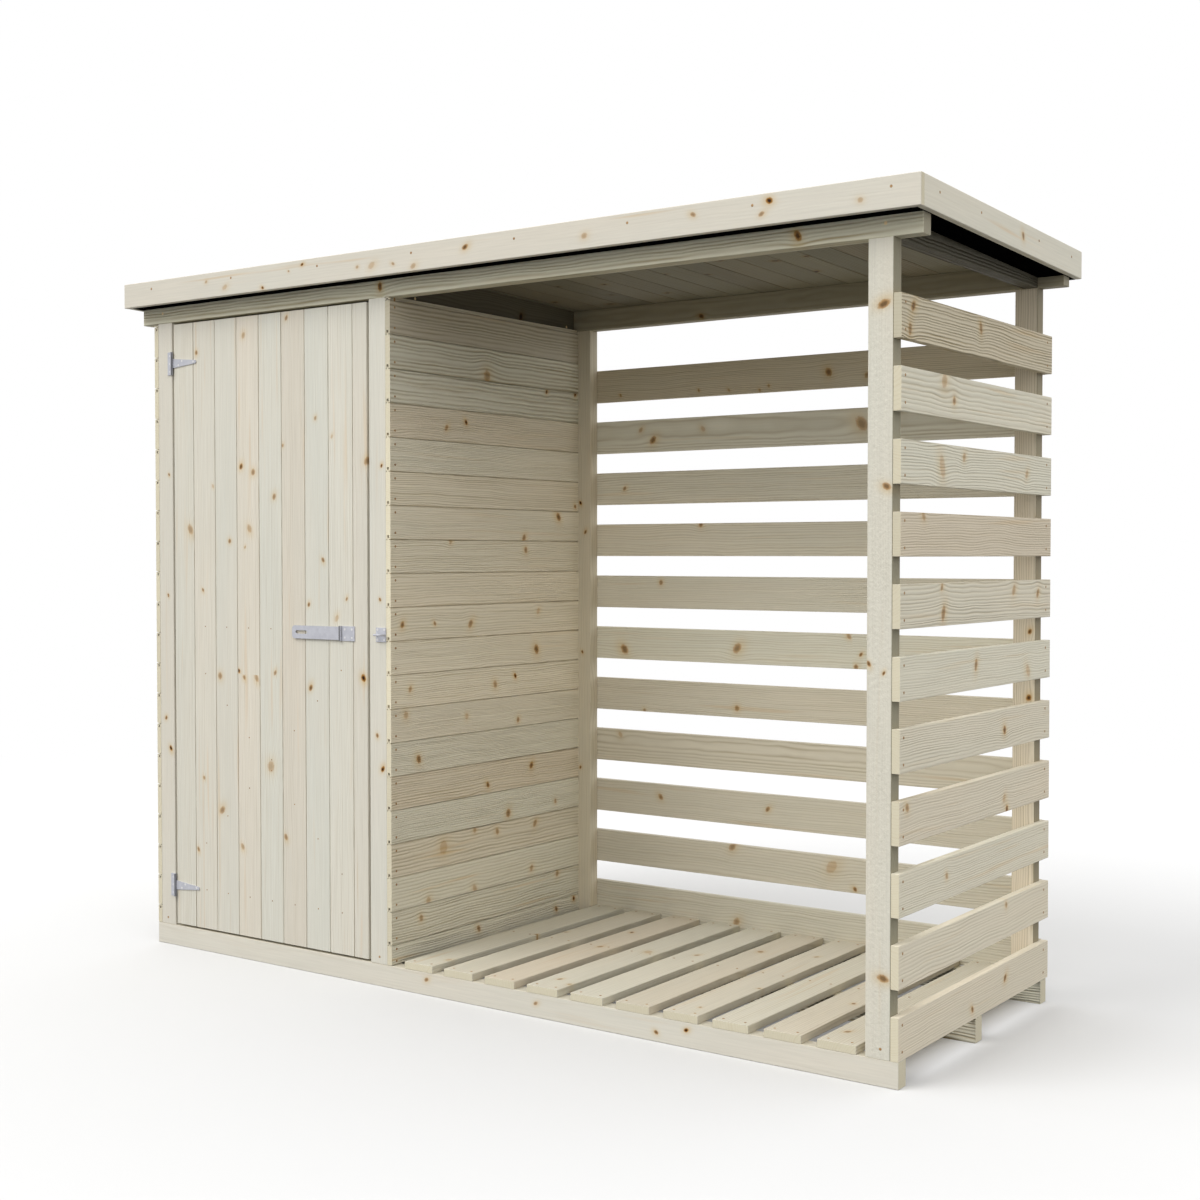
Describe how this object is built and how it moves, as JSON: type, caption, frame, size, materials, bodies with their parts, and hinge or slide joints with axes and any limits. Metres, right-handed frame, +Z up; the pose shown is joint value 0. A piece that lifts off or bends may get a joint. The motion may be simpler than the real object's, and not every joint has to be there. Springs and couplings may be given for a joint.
{
  "type": "log store with tool shed",
  "caption": "Pale timber log store with a slatted open bay beside a boarded tool shed, a braced door on tee hinges, a hasp and a shallow felted pent roof.",
  "frame": {"origin": "ground level under the middle of the roof's outline", "axes": "+X along the store towards the log bay, +Y from the front to the back, +Z up"},
  "size_m": [1.9016, 0.73, 1.4623],
  "materials": {
    "frame_timber": "sawn pale softwood",
    "wall_boards": "planed tongue-and-groove softwood with V joints",
    "slat_timber": "sawn pale softwood",
    "roof_boards": "planed tongue-and-groove softwood",
    "fascia_timber": "planed pale softwood",
    "roofing_felt": "black mineral felt",
    "zinc_hardware": "bright zinc plate"
  },
  "bodies": {
    "store": {"front_bearer": "frame_timber", "middle_bearer": "frame_timber", "back_bearer": "frame_timber", "front_left_post": "frame_timber", "door_post": "frame_timber", "front_right_post": "frame_timber", "back_left_post": "frame_timber", "shed_back_post": "frame_timber", "bay_back_post": "frame_timber", "back_right_post": "frame_timber", "front_header": "frame_timber", "back_header": "frame_timber", "left_rafter": "frame_timber", "middle_rafter": "frame_timber", "right_rafter": "frame_timber", "left_cladding": "wall_boards", "divider_cladding": "wall_boards", "back_cladding": "wall_boards", "side_slats": "slat_timber", "back_slats": "slat_timber", "shed_floor_slats": "slat_timber", "bay_floor_slats": "slat_timber", "roof_deck": "roof_boards", "eaves_battens": "frame_timber", "roof_felt": "roofing_felt", "front_fascia": "fascia_timber", "left_fascia": "fascia_timber", "right_fascia": "fascia_timber", "upper_hinge_leaf": "zinc_hardware", "lower_hinge_leaf": "zinc_hardware", "hasp_staple": "zinc_hardware"},
    "door": {"door_boards": "wall_boards", "top_ledge": "frame_timber", "middle_ledge": "frame_timber", "bottom_ledge": "frame_timber", "long_brace": "frame_timber", "split_brace": "frame_timber", "upper_hinge_strap": "zinc_hardware", "lower_hinge_strap": "zinc_hardware", "hasp_plate": "zinc_hardware"},
    "hasp_flap": {"hasp_flap": "zinc_hardware"}
  },
  "joints": [
    {"name": "door_hinge", "type": "hinge", "parent": "store", "child": "door", "pos_m": [-0.8405, -0.3273, 0.709], "axis": [0, 0, -1], "range_deg": [0, 170]},
    {"name": "hasp_hinge", "type": "hinge", "parent": "door", "child": "hasp_flap", "pos_m": [-0.334, -0.3274, 0.706], "axis": [0, 0, 1], "range_deg": [0, 180]}
  ]
}
